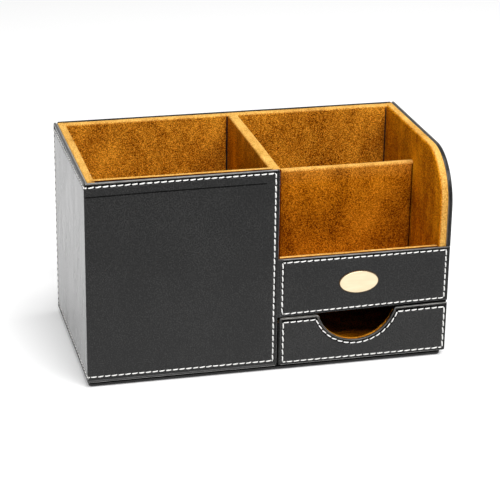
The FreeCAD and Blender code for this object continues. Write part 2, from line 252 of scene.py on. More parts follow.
def put(name, skin, finish, body, node, corner_angle=38.0, merged=True):
    """A piece from points in millimetres and faces: doubles merged, faces turned outwards, bends shaded
    smooth. It moves with its body, takes the finish it is given, and stands for the node, which is hidden."""
    points, faces = skin
    mesh = bpy.data.meshes.new(name)
    mesh.from_pydata((np.asarray(points, float).reshape(-1, 3) * MM).tolist(), [], faces)
    work = bmesh.new()
    work.from_mesh(mesh)
    if merged:
        bmesh.ops.remove_doubles(work, verts=work.verts, dist=2e-6)
        bmesh.ops.dissolve_degenerate(work, edges=work.edges, dist=1e-7)
    bmesh.ops.recalc_face_normals(work, faces=work.faces)
    work.to_mesh(mesh)
    work.free()
    mesh.polygons.foreach_set("use_smooth", np.ones(len(mesh.polygons), bool))
    if merged:
        mesh.set_sharp_from_angle(angle=math.radians(corner_angle))
    mesh.materials.append(finish)
    piece = bpy.data.objects.new(name, mesh)
    scene.collection.objects.link(piece)
    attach(piece, body)
    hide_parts(node)
    return piece


def outline(corners, radii, insets, samples, arc_steps=6):
    """A closed outline moved inwards, anticlockwise. Side i runs from corner i to the next and moves in by
    insets[i]. A corner of radius R is an arc of radius R less the inset, about a centre that far inside.
    samples[i] is the shares along side i where points stand, or a function of the inset that gives the
    points."""
    corners = np.asarray(corners, float)
    along = np.roll(corners, -1, 0) - corners
    along /= np.linalg.norm(along, axis=1)[:, None]
    inward = np.stack([-along[:, 1], along[:, 0]], 1)
    before, insets = np.roll(inward, 1, 0), np.asarray(insets, float)
    inset_before = np.roll(insets, 1)
    rest = np.maximum(np.asarray(radii, float) - np.minimum(insets, inset_before), 0.0)
    rows = np.stack([before, inward], 1)
    reach_in = np.stack([(before * corners).sum(1) + inset_before + rest,
                         (inward * corners).sum(1) + insets + rest], 1)
    centres = np.linalg.solve(rows, reach_in[:, :, None])[:, :, 0]
    angle = np.linspace(0.0, math.pi / 2, arc_steps)[None, :, None]
    arcs = centres[:, None] - rest[:, None, None] * (np.cos(angle) * before[:, None]
                                                     + np.sin(angle) * inward[:, None])
    parts = []
    for i, share in enumerate(samples):
        start, end = arcs[i, -1], arcs[(i + 1) % len(corners), 0]
        parts += [arcs[i], share(insets[i]) if callable(share)
                  else start + np.asarray(share, float)[:, None] * (end - start)]
    return np.concatenate(parts)


def fill(ring, first):
    """Triangles over a flat closed ring whose points are numbered from first."""
    flat = [(float(a), float(b), 0.0) for a, b in ring]
    return [tuple(first + k for k in three) for three in tessellate_polygon([flat])]


def capped(rows, first, last):
    """Faces of a row of closed rings, with both ends filled: first and last are the end rings, laid flat."""
    count = len(first)
    return quads(rows, count, close_columns=True) + fill(first, 0) + fill(last, count * (rows - 1))


def stepped(rings, placed):
    """One closed skin from rings of points: joined in order, the first and the last filled flat."""
    return np.concatenate(placed), capped(len(rings), rings[0], rings[-1])


def looped(rings, placed):
    """One closed skin from rings of points joined in order, the last to the first."""
    return np.concatenate(placed), quads(len(rings), len(rings[0]), True, True)


def between(steps, start=0.0, end=1.0):
    """Equal steps from start to end, without those two."""
    return np.linspace(start, end, steps + 1)[1:-1]


def rounded(a, b, reach_a, reach_b, over=False, steps=6, start=0.0, end=math.pi / 2):
    """Points of a quarter round inside the corner (a, b), reaching reach_a and reach_b from it: from its side
    to its top, or with over from its top to its side. start and end are the angles, for a part of the
    round."""
    near, far = (math.sin, math.cos) if over else (math.cos, math.sin)
    return [(a + reach_a * (1 - near(t)), b + reach_b * (1 - far(t)))
            for t in np.linspace(start, end, steps + 1)]


def four_corners(low, high):
    """Corners of a rectangle, anticlockwise from the lowest."""
    return [(low[0], low[1]), (high[0], low[1]), (high[0], high[1]), (low[0], high[1])]


def ringed(ring_at, place, profile):
    """Rings on the flat outline and where they lie: profile is (inset, height), from ring to ring."""
    rings = [ring_at(inset) for inset, height in profile]
    return rings, [place(ring[:, 0], ring[:, 1], np.full(len(ring), height))
                   for ring, (inset, height) in zip(rings, profile)]


def spots(x, y, z):
    """Points from their three coordinates. As a place for rings it lies flat, with z as the height."""
    return np.stack(np.broadcast_arrays(x, y, z), -1)


def sheet_ring(low, high, radius, across=25, up=25):
    """The outline of a rectangle with rounded corners, at any inset."""
    return lambda inset: outline(four_corners(low, high), [radius] * 4, [inset] * 4,
                                 [between(across), between(up)] * 2)


base_low, base_high = corners_of("base_leather")
felt_low, felt_high = corners_of("base_felt")
base_ring = sheet_ring(base_low, base_high, 2.5)
turned_edge = 0.7     # radius of the leather's turn over the board
base_profile = ([(6.0, felt_high[2] + 0.001), (1.5, felt_high[2])]
                + rounded(0.0, felt_high[2], turned_edge, turned_edge, True)
                + rounded(0.0, base_high[2], turned_edge, -turned_edge)
                + [(1.5, base_high[2]), (6.0, base_high[2] - 0.001)])
put("base_wrap", stepped(*ringed(base_ring, spots, base_profile)), leather("base_leather_finish"), "case",
    "base_leather")


def clouded(name, dark, pale, roughness, grain, relief, stops=(0.3, 0.7), flat=None, **sockets):
    """A finish whose colour wanders between two tones and whose surface rises with them. grain is the noise's
    features a metre, detail and stretch, and relief is the rise's strength and height. flat is its plain
    colour."""
    finish, tree, shader = new_finish(name, flat or pale, roughness, **sockets)
    cloud = spread(tree, *grain)
    coat(tree, shader, ramp(tree, cloud, list(zip(stops, (dark, pale)))))
    raise_by(tree, shader, (cloud, *relief))
    return finish


def fuzzy(name, color, shade, scale, sheen):
    """Cloth with a short nap: its colour wanders from tuft to tuft and it shines softly at the edges."""
    return clouded(name, shade, color, 0.95, (scale, 4.0), (0.5, 0.0002), Sheen_Weight=sheen,
                   Sheen_Roughness=0.5, Specular_IOR_Level=0.1)


felt_profile = [(3.0, felt_high[2]), (0.25, felt_high[2]), (0.06, 0.40), (0.0, 0.25), (0.06, 0.08),
                (0.25, 0.0), (3.0, 0.0)]
put("base_felt_sheet", stepped(*ringed(sheet_ring(felt_low, felt_high, 0.6), spots, felt_profile)),
    fuzzy("black_felt", (0.024, 0.024, 0.025), (0.010, 0.010, 0.011), 700.0, 0.3), "case",
    "base_felt")

# ---------------- carcass boards and cards
# Fibreboard walls, divider and floors glued edge to edge on the base and covered in
# black paper, with grey card glued outside them to stiffen the leather.


def paper(name, dark, pale, roughness, scale):
    """Matte paper or card: faint fibres and small clouds of tone."""
    return clouded(name, dark, pale, roughness, (scale, 5.0, (1.0, 1.0, 0.25)), (0.25, 0.0001),
                   Specular_IOR_Level=0.25)


black_paper = paper("black_paper", (0.006, 0.0055, 0.005), (0.014, 0.0125, 0.0115), 0.85, 260.0)
grey_card = paper("grey_card", (0.20, 0.185, 0.165), (0.33, 0.31, 0.28), 0.9, 200.0)


def dress(node, finish):
    """Give a carried-over node its finish."""
    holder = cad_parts[node]
    holder.data.materials.clear()
    holder.data.materials.append(finish)


for node in ("base_board", "left_board", "front_board", "back_board", "right_board", "divider_board",
             "well_floor_board", "tray_floor_board", "tray_divider_board", "fascia_board",
             "drawer_front_board", "drawer_floor", "drawer_left_side", "drawer_right_side", "drawer_back"):
    dress(node, black_paper)
for node in ("left_card", "front_card", "fascia_card", "right_card", "back_card", "drawer_front_card"):
    dress(node, grey_card)

# ---------------- suede in the pen well
# Tan suede glued to each wall. Every sheet turns over the top of its board, where
# the nap is paler, partly worn and partly a painted sheen highlight on the upward
# faces, and stops short in the upright corners, which show dark.


def suede(name, dark, middle, pale, painted_shade_to=None, tint=0.10, mottle=0.22):
    """Tan split suede in three tones of tuft, with broad clouds where the nap lies another way, and paler on
    the
    rims, where the attribute says so: partly worn nap, partly a painted sheen highlight. Towards the left the
    tone can be darkened up to a given place along the width: painted shade."""
    finish, tree, shader = new_finish(name, middle, 0.95, Sheen_Weight=0.15, Sheen_Roughness=0.4,
                                      Sheen_Tint=(1.0, 0.62, tint, 1.0),
                                      Specular_IOR_Level=0.05 * tint / 0.10)
    where = on_piece(tree)
    fray = add(tree, "TexNoise", {"Vector": where, "Scale": 3000.0}).outputs["Color"]
    tufts = add(tree, "TexVoronoi", {"Vector": blend(tree, "ADD", where, fray, 0.0009), "Scale": 2250.0})
    tuft = add(tree, "SeparateColor", {0: tufts.outputs["Color"]}).outputs[0]
    brushed = spread(tree, 70.0, 2.0, (1.0, 1.0, 0.45), (0.0, 0.5, 0.0))
    lay = maths(tree, "ADD", spread(tree, 24.0, 3.0), brushed)
    tone = maths(tree, "ADD", tuft, remap(tree, lay, 0.7, 1.3, -mottle, mottle))
    # Painted shade: darker towards the left end, near the tall divider.
    if painted_shade_to:
        across = add(tree, "SeparateXYZ", {0: where}).outputs["X"]
        tone = maths(tree, "ADD", tone, remap(tree, across, *painted_shade_to, -0.20, 0.0))
    # Points marked as turned darken the tone: painted shade on folded ends and on sheets' front edges beside
    # the leather.
    turned = add(tree, "Attribute", attribute_name="turned").outputs["Fac"]
    tone = maths(tree, "MULTIPLY_ADD", turned, -0.9, tone)
    nap = ramp(tree, tone, [(0.0, dark), (0.50, middle), (1.0, pale)])
    # Rim tones: worn nap with a painted sheen highlight on the upward faces.
    worn_and_sheen = ramp(tree, tone, [(0.0, (0.48, 0.21, 0.030)), (0.50, (0.76, 0.40, 0.085)),
                             (1.0, (0.98, 0.62, 0.18))])
    rubbed_and_sheen = add(tree, "Attribute", attribute_name="rubbed_and_sheen").outputs["Fac"]
    pale_share = maths(tree, "MULTIPLY", rubbed_and_sheen, maths(tree, "SUBTRACT", 1.0, turned, use_clamp=True))
    coat(tree, shader, blend(tree, "MIX", nap, worn_and_sheen, pale_share))
    raise_by(tree, shader, (tufts.outputs["Distance"], 0.5, 0.0005))
    return finish


suede_finish = suede("tan_suede", (0.07, 0.012, 0.0001), (0.485, 0.141, 0.0034), (1.0, 0.445, 0.033))
SHEET = 0.7           # the suede's thickness
SOFT, TUCKED = 1.5, 0.45       # radii of its bends at the inner and at the outer edge of a rim


def mark(piece, name, amount):
    """Store a value at every point of a piece: amount(x, y, z) is given in millimetres."""
    points = np.zeros(len(piece.data.vertices) * 3)
    piece.data.vertices.foreach_get("co", points)
    value = np.asarray(amount(*(points.reshape(-1, 3).T / MM)), float)
    piece.data.attributes.new(name, "FLOAT", "POINT").data.foreach_set("value", value)


def rub(piece, height, fade=1.6):
    """Mark where the nap is paler, partly worn and partly a painted sheen highlight: fully at the given
    height, fading to none below it.
    """
    mark(piece, "rubbed_and_sheen", lambda x, y, z: np.clip(1.0 - (height - z) / fade, 0.0, 1.0) ** 1.5)


def rim_section(width, low, high, soft=SOFT, tuck=TUCKED):
    """Closed section of a sheet over a wall, as (distance from the board's outer face, height): up a small
    round beside the leather, flat over the board, round the inner edge on radius soft, down the wall, and
    back inside."""
    flat = [(a, high) for a in between(4, tuck, width - soft)]
    wall = [(width, z) for z in np.linspace(high - soft, low, 9)[1:]]
    inside = [(width - SHEET, low), (width - SHEET, high - SHEET), (0.0, high - SHEET)]
    return np.array(rounded(0.0, high, tuck, -tuck) + flat + rounded(width, high, -soft, -soft, True) + wall
                    + inside)


def stations(start, end, cut=None, step=4.0, fine=0.9):
    """Places along a run, close together at both ends and at a cut."""
    ease = np.array([0.0, 0.15, 0.4, 0.7, 1.0]) * fine
    middle = np.linspace(start + fine, end - fine, max(3, int((end - start) / step)))
    at_cut = [] if cut is None else cut + np.linspace(-0.2, 0.2, 5)
    return np.unique(np.concatenate([start + ease, middle, end - ease, at_cut]))


def beyond(along, cut):
    """1 beyond the cut and 0 before it, changing within a quarter of a millimetre."""
    return 0.0 if cut is None else np.clip((along - cut) / 0.25 + 0.5, 0.0, 1.0)


SINK = SHEET + 0.25   # beyond a cut a sheet sinks behind the board's face by this much
CUT = 0.95            # a back sheet is cut this far before the face of the sheet beside it


def carried(section, runs):
    """A section repeated along a run: the places along it, and the section's distances and heights at
    each."""
    return [np.broadcast_to(v, (len(runs), len(section))).copy() for v in (runs[:, None], *section.T)]


def on_line_x(face, way=1):
    """For a wall that runs from left to right: its face is at a depth, and way is the side the sheet thickens
    to."""
    return lambda a, t, z: spots(t, face + way * a, z)


def on_line_y(face, way=1):
    """The same for a wall that runs from front to back."""
    return lambda a, t, z: spots(face + way * a, t, z)


def lined_wall(name, node, section, span, place, seed, cut=None, pale_at=None, body="case"):
    """A sheet's section carried along a straight wall, from one end of the span to the other. It wanders by a
    tenth of a millimetre, as hand-glued cloth does, and beyond the cut its wall part sinks behind the board's
    face."""
    runs = stations(*span, cut)
    along, a, z = carried(section, runs)
    skin = section[:, 0] > 1e-6
    width, top = section.max(0)
    a += skin * 0.10 * np.sin(along / 17.0 + seed) * np.sin(z / 23.0 + 1.7 * seed)
    z += (z > top - 0.6) * skin * 0.06 * (np.sin(along / 11.0 + 2.1 * seed) - 1.0)
    a -= beyond(along, cut) * ((section[:, 0] > width - 0.9) & (section[:, 1] < top - 1.3)) * SINK
    lined = put(name, (place(a, along, z), capped(len(runs), section, section)), suede_finish, body,
                node, 60.0)
    rub(lined, top if pale_at is None else pale_at)
    return lined


left_rim_low, left_rim_high = corners_of("left_lining")
front_rim_low = corners_of("well_front_lining")[0]
divider_low, divider_high = corners_of("divider_lining")
back_rim_low, back_rim_high = corners_of("well_back_lining")
rim_top, well_floor = left_rim_high[2], left_rim_low[2]
rim_width = left_rim_high[0] - left_rim_low[0]
well_section = rim_section(rim_width, well_floor, rim_top)
overlap = 1.7         # a sheet runs this far under the next one in a corner

lined_wall("left_wall_suede", "left_lining", well_section, (left_rim_low[1], left_rim_high[1]),
           on_line_y(left_rim_low[0]), 1)
front_rim_top = rim_top + 0.35                # the front's rim is puffed up a little
GAP = 1.1                                     # the front sheets stop short of the leather by this much
front_lined = lined_wall("well_front_suede", "well_front_lining",
                         rim_section(rim_width - GAP, well_floor, front_rim_top),
                         (front_rim_low[0] - overlap, divider_low[0] + overlap),
                         on_line_x(front_rim_low[1] + GAP), 2, pale_at=rim_top)
# Painted shade on the sheet's front edge, in the gap beside the leather.
mark(front_lined, "turned", lambda x, y, z: (y < front_rim_low[1] + GAP + 0.25) & (z < front_rim_top - 0.10))
lined_wall("well_back_suede", "well_back_lining", well_section, (back_rim_low[0] - overlap, back_rim_high[0]),
           on_line_x(back_rim_high[1], -1), 3, divider_low[0] - CUT)


def soft_slab(name, node, seed, finish=suede_finish, body="case", soft=0.5):
    """A glued sheet lying flat: rounded edges and a top that rises and falls by a few hundredths."""
    low, high = corners_of(node)
    turn = soft * (1 - np.cos(np.linspace(0, math.pi / 2, 5)))
    a, b = (np.concatenate([low[k] + turn, between(21, low[k] + soft, high[k] - soft), high[k] - turn[::-1]])
            for k in (0, 1))
    x, y = np.meshgrid(a, b, indexing="ij")
    edge = np.minimum(np.minimum(x - low[0], high[0] - x), np.minimum(y - low[1], high[1] - y))
    fall = soft - np.sqrt(np.maximum(soft ** 2 - (soft - np.minimum(edge, soft)) ** 2, 0.0))
    z = high[2] - fall - 0.04 * (1 + np.sin(x / 13.0 + seed) * np.sin(y / 9.0 + seed)) * (edge > soft)
    upper, lower = (spots(x, y, height).reshape(-1, 3) for height in (z, low[2]))
    rows, columns = x.shape
    faces = quads(rows, columns) + [f[::-1] for f in quads(rows, columns, first=rows * columns)]
    rim = np.concatenate([np.arange(columns), np.arange(1, rows) * columns + columns - 1,
                          (rows - 1) * columns + np.arange(columns - 2, -1, -1),
                          np.arange(rows - 2, 0, -1) * columns])
    after = np.roll(rim, -1)
    faces += np.stack([rim, rim + rows * columns, after + rows * columns, after], 1).tolist()
    put(name, (np.concatenate([upper, lower]), faces), finish, body, node, 60.0)


soft_slab("well_floor_suede", "well_floor_lining", 1)

# ---------------- tall divider between well and tray
# A board between the pen well and the tray, covered by one sheet of suede that goes
# up one face, over the top and down the other, and is folded over its front end.
tray_floor = corners_of("tray_floor_board")[1][2]


def saddle(width, low_near, low_far, high, soft):
    """Sections of a sheet over a board's top: the outer skin as (distance across, height), and the inner
    one."""
    rise = [(0.0, z) for z in np.linspace(low_near, high - soft, 9)[:-1]]
    flat = [(a, high) for a in between(3, soft, width - soft)]
    fall = [(width, z) for z in np.linspace(high - soft, low_far, 9)[1:]]
    outer = np.array(rise + rounded(0.0, high, soft, -soft, steps=7) + flat
                     + rounded(width, high, -soft, -soft, True, 7) + fall)
    inner = np.column_stack([np.clip(outer[:, 0], SHEET, width - SHEET),
                             np.minimum(outer[:, 1], high - SHEET)])
    return outer, inner


def saddle_sheet(name, node, sections, span, place, finish, seed, folded_start=False, cut=None, fade=1.6):
    """The saddle's closed section carried along the board. A folded start closes the front end over the
    board."""
    outer, inner = sections
    runs = stations(*span, cut)
    section = np.concatenate([outer, inner[::-1]])
    count, half = len(section), len(outer)
    along, a, z = carried(section, runs)
    width, top = outer.max(0)
    skin = np.arange(count) < half
    a += 0.10 * np.sin(along / 19.0 + seed) * np.sin(z / 21.0 + seed) * skin
    z += (z > top - 0.3) * 0.06 * (np.sin(along / 12.0 + seed) - 1.0)
    sunk = (section[:, 1] < top - 1.6) & skin
    a += beyond(along, cut) * sunk * SINK * np.where(section[:, 0] < width / 2, 1.0, -1.0)
    faces = quads(len(runs), count, close_columns=True) + fill(section, count * (len(runs) - 1))
    if folded_start:
        along[:, half:] = np.maximum(along[:, half:], runs[0] + SHEET)
        faces += [list(range(half)), list(range(half, count)), [0, half - 1, half, count - 1]]
    else:
        faces += fill(section, 0)
    lined = put(name, (place(a, along, z), faces), finish, "case", node, 60.0)
    rub(lined, top, fade)
    return lined


# A darker, deeper copy of the tan suede for the divider, whose faces turn away from the lamps: painted shade.
shaded_divider_finish = suede("tan_suede_shaded_divider", (0.08, 0.010, 0.0001), (0.45, 0.100, 0.0004), (0.95, 0.30, 0.004),
                       tint=0.01, mottle=0.28)
divider_lined = saddle_sheet("divider_suede", "divider_lining",
                             saddle(divider_high[0] - divider_low[0], well_floor, tray_floor, rim_top, 1.3),
                             (divider_low[1] - 0.02, divider_high[1] - 0.1), on_line_y(divider_low[0]),
                             shaded_divider_finish, 4, folded_start=True)
# Painted shade on the folded front end.
mark(divider_lined, "turned", lambda x, y, z: y < divider_low[1] + 0.4)

# ---------------- suede in the tray
# The same suede lines the tray: the back, the right side with its round front
# corner, the low front, the low cross divider and the two floors.
right_wall_low, right_wall_high = corners_of("right_lining")
tray_rim_low, tray_rim_high = corners_of("tray_back_lining")
lined_wall("tray_back_suede", "tray_back_lining", rim_section(rim_width, tray_floor, rim_top),
           (tray_rim_low[0] + 0.7, right_wall_low[0] + overlap), on_line_x(tray_rim_high[1], -1), 3,
           right_wall_low[0] - CUT)

low_front_low, low_front_high = corners_of("fascia_lining")
low_rim = low_front_high[2]
low_gap = 1.7         # the low front's sheet stops this far short of the leather
low_sheet = corners_of("fascia_board")[0][1] + low_gap
low_lined = lined_wall("low_front_suede", "fascia_lining",
                       rim_section(rim_width - low_gap, tray_floor, low_rim, 1.2),
                       (low_front_low[0] - 0.55, right_wall_low[0] + overlap), on_line_x(low_sheet), 6)
# Painted shade on the sheet's front edge, in the gap beside the leather.
mark(low_lined, "turned", lambda x, y, z: (y < low_sheet + 0.25) & (z < low_rim - 0.10))


def by_side(values, counts, arc_steps=6):
    """A value for each point of an outline: each side's own, turning from one to the next round the
    corners."""
    parts = []
    for i, count in enumerate(counts):
        parts += [np.linspace(values[i - 1], values[i], arc_steps), np.full(count, float(values[i]))]
    return np.concatenate(parts)


side_round = 33.1     # radius of the right wall's front corner, over the suede
side_corners = [(low_front_high[1], tray_floor), (right_wall_high[1], tray_floor),
                (right_wall_high[1], rim_top), (right_wall_low[1], rim_top),
                (right_wall_low[1], low_rim), (low_front_high[1], low_rim)]
is_rim = np.array([0, 0, 1, 1, 0, 0])
side_samples = [between(11), [0.5], between(15), between(8), [0.5], between(5)]
rim_weight = np.round(by_side(is_rim, [len(shares) for shares in side_samples], 24))
side_profile = ([(4.0, rim_width - SHEET), (SHEET, rim_width - SHEET), (SHEET, 0.0)]
                + rounded(0.0, 0.0, TUCKED, TUCKED, True, 7) + [(0.0, 1.5), (0.0, 2.6)]
                + rounded(0.0, rim_width, SOFT, -SOFT, steps=7) + [(4.0, rim_width)])


def side_ring(inset):
    """The right wall's outline, in which only the rim moves inwards."""
    return outline(side_corners, [0, 0, 0, side_round, 0, 0], inset * is_rim, side_samples, 24)


def side_place(a, b, h):
    """Upright on the right wall: h is the depth from its outer face. Off the rim the sheet keeps its
    thickness."""
    depth = np.where(rim_weight > 0, h, np.maximum(h, rim_width - SHEET))
    return spots(right_wall_high[0] - depth, a, b)


# A darker, deeper copy of the tan suede for the right wall's inner face, which turns away from the lamps:
# painted shade.
shaded_right_finish = suede("tan_suede_shaded_right", (0.10, 0.012, 0.0001), (0.59, 0.141, 0.0010), (1.0, 0.44, 0.010),
                    tint=0.03, mottle=0.34)
side_lined = put("right_wall_suede", stepped(*ringed(side_ring, side_place, side_profile)), shaded_right_finish,
                 "case", "right_lining", 60.0)
# The right wall's rim is paler: worn nap with a painted sheen highlight.
mark(side_lined, "rubbed_and_sheen",
     lambda x, y, z: np.clip((rim_width - 0.25 - right_wall_high[0] + x) / 1.2, 0.0, 1.0) ** 1.5)

cross_low, cross_high = corners_of("tray_divider_lining")
# The cross divider's suede darkens towards its left end, beside the tall divider: painted shade.
saddle_sheet("tray_divider_suede", "tray_divider_lining",
             saddle(cross_high[1] - cross_low[1], tray_floor, tray_floor, cross_high[2], 2.0),
             (cross_low[0] + 0.05, cross_high[0] + 0.4), on_line_x(cross_low[1]),
             suede("tan_suede_cross", (0.07, 0.012, 0.0002), (0.39, 0.110, 0.0016), (0.84, 0.31, 0.014),
                   (0.005, 0.050), 0.05), 5, cut=cross_high[0] - 0.85, fade=2.6)
soft_slab("front_tray_floor_suede", "front_tray_floor_lining", 2)
soft_slab("rear_tray_floor_suede", "rear_tray_floor_lining", 3)

# ---------------- front leather
# One piece of leather goes over the left side, round the front corner and across the
# front, and runs on over the low front. It is turned over the card at every edge and
# sewn down, so a roll stands along the edge with a furrow inside it. A pale strip over
# the roll is a painted highlight, and near-black strips in the furrow and behind the
# roll are painted shade.
wrap_low, wrap_high = corners_of("front_leather")
left_face, right_face, front_face, back_face = wrap_low[0], wrap_high[0], wrap_low[1], wrap_high[1]
panel_bottom, panel_top = wrap_low[2], wrap_high[2]
LEATHER = 1.0         # thickness of the leather turned over the cards
low_top, low_bottom = corners_of("fascia_card")[1][2] + LEATHER, corners_of("fascia_card")[0][2] - LEATHER
front_edge = corners_of("front_card")[1][0] + LEATHER
depth = back_face - front_face
corner = 0.8          # radius of the upright corner between the left side and the front
SEAM = 2.3            # the sewn row's usual distance from the edge
COVER = 2.5           # leather and card together
# Sections across a panel's edge, as (distance in from the edge, height over the face). SLIT moves single
# points of EDGE, by their number, where the turned edge stands off the face.
EDGE = [(1.0, -1.0), (1.0, -COVER), (0.60, -2.48), (0.58, -1.60), (0.04, -1.50), (0.04, -0.80), (0.15, -0.48),
        (0.32, -0.22), (0.52, -0.06), (0.74, 0.0), (0.90, -0.06), (1.00, -0.22), (1.06, -0.40), (1.16, -0.52),
        (1.30, -0.58), (1.60, -0.60), (1.95, -0.58), (2.3, -0.56), (2.75, -0.54), (2.98, -0.48),
        (3.12, -0.22), (3.25, -0.06), (3.5, 0.0), (5.2, 0.0)]
SLIT = {6: (0.04, -0.82), 7: (0.10, -0.50), 8: (0.21, -0.29), 9: (0.30, -0.17), 10: (0.38, -0.22),
        11: (0.42, -0.38), 12: (0.44, -1.50), 13: (1.60, -1.50), 14: (1.63, -0.62), 15: (1.68, -0.60),
        16: (1.75, -0.60)}
CREASE = [(7.6, 0.0), (7.95, -0.02), (8.05, -0.50), (8.70, -0.50), (8.80, -0.02), (9.1, 0.0)]
CREST = [(0.0, -1.45), (0.0, -0.78), (0.06, -0.45), (0.15, -0.23), (0.27, -0.12), (0.38, -0.15),
         (0.45, -0.30), (0.42, -0.33), (0.37, -0.19), (0.27, -0.16), (0.17, -0.26), (0.09, -0.47),
         (0.03, -0.80), (0.03, -1.45)]
FURROW = [(0.50, -1.35), (1.55, -1.35), (1.66, -0.55), (2.2, -0.52), (3.02, -0.30), (3.02, -0.38),
          (2.2, -0.575), (1.62, -0.61), (1.58, -1.45), (0.50, -1.45)]
TUCK = [(0.50, -2.46), (0.50, -1.58), (0.56, -1.62), (0.56, -2.44)]
CREASE_LINE = [(8.20, -0.40), (8.52, -0.40), (8.52, -0.52), (8.20, -0.52)]


def drawn(inset, row):
    """The edge's own distances, stretched beyond the roll so that the sewn furrow lies at row."""
    roll_edge, far = 0.8, 99.0
    stretched = np.interp(inset, [roll_edge, SEAM, far], [roll_edge, row, far + row - SEAM])
    return inset if inset <= roll_edge else stretched


def sewn_ring(corners, radii, rows, samples, arc_steps=6):
    """The outline of a stitched panel, at any inset: rows are the sewn rows' distances from its sides."""
    return lambda inset: outline(corners, radii, [drawn(inset, row) for row in rows], samples, arc_steps)


def panel_skin(ring_at, place, profile, level_share=0.0, slit_share=0.0):
    """Rings of a stitched panel and where they lie: ring_at(inset) gives the outline on the flat leather, and
    place(a, b, h) bends it to the carcass at height h. level_share is 1 where the edge is left flat, and
    slit_share is 1 where the turned edge stands off the face, with a dark slit under it and a crease further
    in."""
    steps = [(profile[-1][0], -1.0)] + list(profile)
    rings, placed = [], []
    for k, (s, h) in enumerate(steps):
        cut_s, cut_h = SLIT.get(k, (s, h))
        ring = ring_at(s) + (ring_at(cut_s) - ring_at(s)) * np.reshape(slit_share, (-1, 1))
        height = h + (cut_h - h) * slit_share
        if s < 1.6 and h > -0.95:                   # the roll
            height = height * (1.0 - level_share)
        if s > 7.0 and k:                           # the crease
            height = h * slit_share
        rings.append(ring)
        placed.append(place(ring[:, 0], ring[:, 1], np.broadcast_to(height, len(ring))))
    return rings, placed


def edge_strip_tone(name, dark, pale, roughness, shine, dull_below=0.0):
    """Two given tones, a little streaky, for the thin strips along an edge: a painted highlight on crests,
    painted shade in furrows and gaps. Below a height the colour is dimmed, which takes the painted highlight
    out of the drawer's notch."""
    finish, tree, shader = new_finish(name, dark, roughness, Specular_IOR_Level=shine)
    streaks = spread(tree, 500.0, 3.0, (0.3, 0.3, 1.0))
    paint = ramp(tree, streaks, [(0.35, dark), (0.65, pale)])
    # Below the given height the tone is dimmed: the painted highlight fades out.
    polish = remap(tree, on_piece(tree, "Z"), dull_below - 0.0018, dull_below, 0.22, 1.0)
    coat(tree, shader, blend(tree, "MULTIPLY", paint, polish))
    raise_by(tree, shader, (streaks, 0.3, 0.0001))
    return finish


# Pale grey over the roll's crest: painted highlight.
crest_highlight_finish = edge_strip_tone("crest_painted_highlight", (0.06, 0.059, 0.056), (0.16, 0.155, 0.145), 0.30, 0.9)
# Near black in furrows, tucks, the crease and the base groove: painted shade.
furrow_shade_finish = edge_strip_tone("furrow_painted_shade", (0.0006,) * 3, (0.0030,) * 3, 0.8, 0.03)


def strip(name, ring_at, place, section, share, finish, body="case", node="front_leather"):
    """A thin closed strip along the part of a panel's edge where share is 1: section is (inset, height) round
    it."""
    run = np.where(share > 0.99)[0]
    points = np.stack(ringed(lambda inset: ring_at(inset)[run], place, section)[1], 1)
    put(name, (points, capped(len(run), section, section)), finish, body, node, 60.0)


def edge_strips(name, ring_at, place, share, crest=crest_highlight_finish, tuck=TUCK, **owner):
    """Strips along a turned edge: a painted highlight over its crest, and painted shade in the furrow under
    it and in the tuck behind it.
    """
    strip(name + "_crest", ring_at, place, CREST, share, crest, **owner)
    strip(name + "_furrow", ring_at, place, FURROW, share, furrow_shade_finish, **owner)
    strip(name + "_tuck", ring_at, place, tuck, share, furrow_shade_finish, **owner)


def hand_laid(a, b):
    """How far the top edge and, below it, the sewn row lie under a level line: a little at the front corner,
    and the row more and more towards the back of the left side."""
    down = panel_top - b
    edge = np.interp(a, [depth, wrap_length], [0.5, 0.0])
    row = np.interp(a, [0.0, depth, depth + 43.0, wrap_length], [2.6, 1.15, 0.5, 0.0])
    return (edge * np.interp(down, [0.6, 1.9], [1.0, 0.0])
            + row * np.interp(down, [0.6, 1.9, 9.5, 22.0], [0.0, 1.0, 1.0, 0.0]))


def wrap_place(a, b, h):
    """From the flat leather to the carcass: a runs from the back edge of the left side, round the upright
    corner, and along the front; b is the height; h stands out. Within the corner's radius a becomes an
    angle."""
    a, b, h = np.broadcast_arrays(*(np.asarray(v, float) for v in (a, b, h)))
    b = b - hand_laid(a, b)
    radius, centre = np.maximum(corner + h, 0.0), np.maximum(corner, -h)
    past = a - depth
    angle = np.clip(past / centre + 1.0, 0.0, 2.0) * math.pi / 4
    x = left_face + centre - radius * np.cos(angle) + np.maximum(past - centre, 0.0)
    y = front_face + centre - radius * np.sin(angle) + np.maximum(-past - centre, 0.0)
    return spots(x, y, b)


def on_front(x, b, h, slope, level_x, share):
    """Flat on the front. Where share is 1, at the line between the low front and the drawer, it rises a
    little to the right: by the slope times the distance from level_x, up to a limit."""
    rise = np.clip(slope * (x - level_x), -1.15, 0.75) * np.clip(share, 0.0, 1.0)
    return spots(x, front_face - h, b + rise)


def front_place(a, b, h):
    """On the low front: a is the distance from the left face, h stands out."""
    return on_front(left_face + a, b, h, 0.0194, 73.6, (low_top - b) / (low_top - low_bottom))


